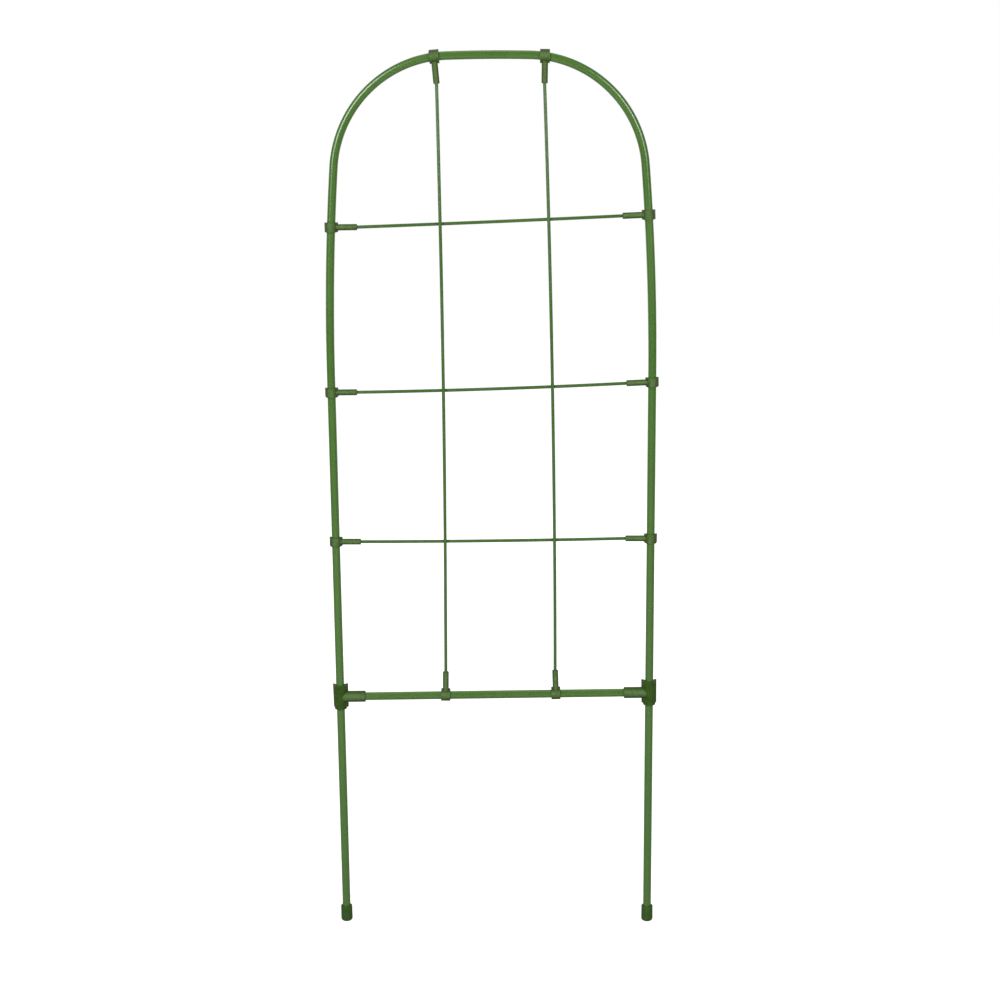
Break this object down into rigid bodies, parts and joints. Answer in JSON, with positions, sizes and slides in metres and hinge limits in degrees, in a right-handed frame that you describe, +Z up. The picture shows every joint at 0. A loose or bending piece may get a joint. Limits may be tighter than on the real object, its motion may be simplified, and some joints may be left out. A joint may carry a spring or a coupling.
{
  "type": "ladder trellis",
  "caption": "Flat arched garden trellis of green coated tube, with thin rungs and upright rods held in push-fit clips between two long legs for the soil.",
  "frame": {"origin": "on the ground midway between the two foot caps, in the plane of the tube's axis", "axes": "+Z up along the legs, +X to the right along the rungs, +Y to the back, where the clips are open"},
  "size_m": [0.4454, 0.0166, 1.202],
  "materials": {
    "tube_coat": "smooth satin green plastic coating on thin-walled steel tube",
    "rod_coat": "thin satin green coating on solid steel rod",
    "clip_plastic": "moulded dark green plastic, faintly speckled, soft sheen",
    "cap_plastic": "moulded dark green plastic, matte"
  },
  "bodies": {
    "frame": {"arch_tube": "tube_coat", "cross_tube": "tube_coat", "tee_left": "clip_plastic", "tee_right": "clip_plastic", "foot_cap_left": "cap_plastic", "foot_cap_right": "cap_plastic", "rung_upper": "rod_coat", "clip_upper_left": "clip_plastic", "clip_upper_right": "clip_plastic", "rod_left": "rod_coat", "rod_right": "rod_coat", "clip_rod_left_top": "clip_plastic", "clip_rod_left_foot": "clip_plastic", "clip_rod_right_top": "clip_plastic", "clip_rod_right_foot": "clip_plastic"},
    "middle_rung": {"rung_middle": "rod_coat", "clip_middle_left": "clip_plastic", "clip_middle_right": "clip_plastic"},
    "lower_rung": {"rung_lower": "rod_coat", "clip_lower_left": "clip_plastic", "clip_lower_right": "clip_plastic"}
  },
  "joints": [
    {"name": "middle_rung_slide", "type": "slide", "parent": "frame", "child": "middle_rung", "axis": [0, 0, 1], "range_m": [-0.12, 0.03]},
    {"name": "lower_rung_slide", "type": "slide", "parent": "frame", "child": "lower_rung", "axis": [0, 0, 1], "range_m": [-0.085, 0.06]}
  ]
}
